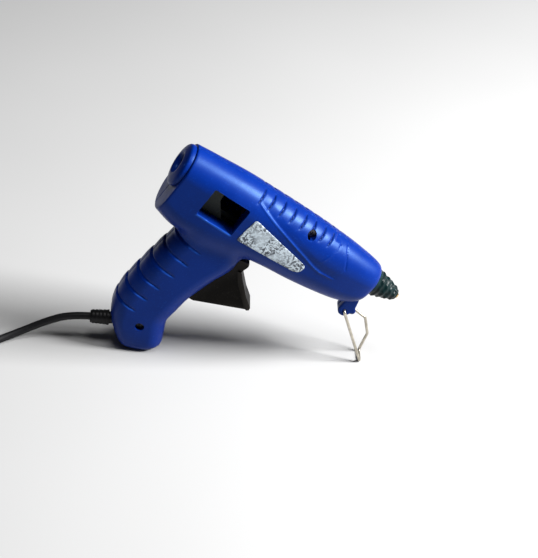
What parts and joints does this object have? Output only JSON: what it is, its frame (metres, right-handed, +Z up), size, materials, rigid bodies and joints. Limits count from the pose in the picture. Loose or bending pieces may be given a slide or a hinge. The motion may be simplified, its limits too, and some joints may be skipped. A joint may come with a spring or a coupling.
{
  "type": "hot glue gun",
  "caption": "Trigger-fed hot glue gun with a raked handle, ribbed barrel, side window, ringed nozzle boot and folding wire stand, on a mains cord folded into a tied hank with a flat plug.",
  "frame": {"origin": "On the floor, under the middle of the gun's bounding box (the cord, its relief and its plug left out).", "axes": "+X forwards, towards the nozzle; +Y to the gun's left; +Z up. The gun stands on the end of its handle and its wire stand, nose down."},
  "size_m": [0.3954, 0.051, 0.1649],
  "materials": {
    "shell_blue": "satin-gloss moulded plastic, fine grain",
    "silicone_red": "matt silicone",
    "steel": "zinc-plated",
    "cast_aluminium": "as cast",
    "ceramic": "fired ceramic, matt",
    "aluminium_plate": "rolled",
    "amber_film": "smooth film",
    "heatproof_black": "matt",
    "brass": "turned",
    "silicone_green": "matt silicone",
    "nylon_grey": "matt moulded nylon",
    "nylon_brown": "satin moulded nylon",
    "stand_wire": "drawn wire, dulled plating",
    "label_paper": "printed vinyl",
    "lead_insulation": "silicone-covered wire",
    "connector_white": "nylon cap",
    "cord_black": "soft PVC, satin",
    "tie_white": "plastic-covered wire",
    "nickel": "nickel-plated"
  },
  "bodies": {
    "housing": {"housing_right": "shell_blue", "housing_left": "shell_blue", "rear_collar": "shell_blue", "inlet_sleeve": "silicone_red", "sleeve_clamp": "steel", "heating_chamber": "cast_aluminium", "heater_tablet": "ceramic", "heater_contacts": "aluminium_plate", "heater_wrap": "amber_film", "front_bush": "heatproof_black", "nozzle": "brass", "nozzle_boot": "silicone_green", "trigger_pin": "steel", "return_spring": "steel", "side_label": "label_paper", "housing_screws": "steel", "lead_wires": "lead_insulation", "wire_connectors": "connector_white", "cord_cores": "lead_insulation", "strain_relief": "cord_black", "cord_tail": "cord_black", "cord_clamp": "heatproof_black", "cord_clamp_screws": "steel", "power_cord": "cord_black", "cord_hank": "cord_black", "cord_tie": "tie_white", "plug_lead": "cord_black", "plug_body": "cord_black", "plug_pins": "nickel"},
    "trigger": {"trigger": "nylon_brown"},
    "carriage": {"feed_carriage": "nylon_grey", "link_pin": "steel", "clamp_pin": "steel"},
    "clamp": {"clamp_lever": "steel"},
    "stand": {"wire_stand": "stand_wire"}
  },
  "joints": [
    {"name": "trigger_squeeze", "type": "hinge", "parent": "housing", "child": "trigger", "pos_m": [-0.01789, 0, 0.09186], "axis": [0, 1, 0], "range_deg": [0, 24], "stiffness_Nm_per_rad": 0.5, "springref_deg": -8.59, "deforming": ["return_spring"]},
    {"name": "feed_slide", "type": "slide", "parent": "housing", "child": "carriage", "axis": [0.8584, 0, -0.513], "range_m": [0, 0.0071]},
    {"name": "clamp_bite", "type": "hinge", "parent": "carriage", "child": "clamp", "pos_m": [-0.03294, 0, 0.14757], "axis": [0, 1, 0], "range_deg": [0, 5.5]},
    {"name": "stand_fold", "type": "hinge", "parent": "housing", "child": "stand", "pos_m": [0.06334, 0, 0.04436], "axis": [0, 1, 0], "range_deg": [0, 134]}
  ],
  "couplings": [
    {"joint": "feed_slide", "follows": "trigger_squeeze", "m_per_rad": 0.016948},
    {"joint": "clamp_bite", "follows": "trigger_squeeze", "ratio": 0.2083}
  ]
}
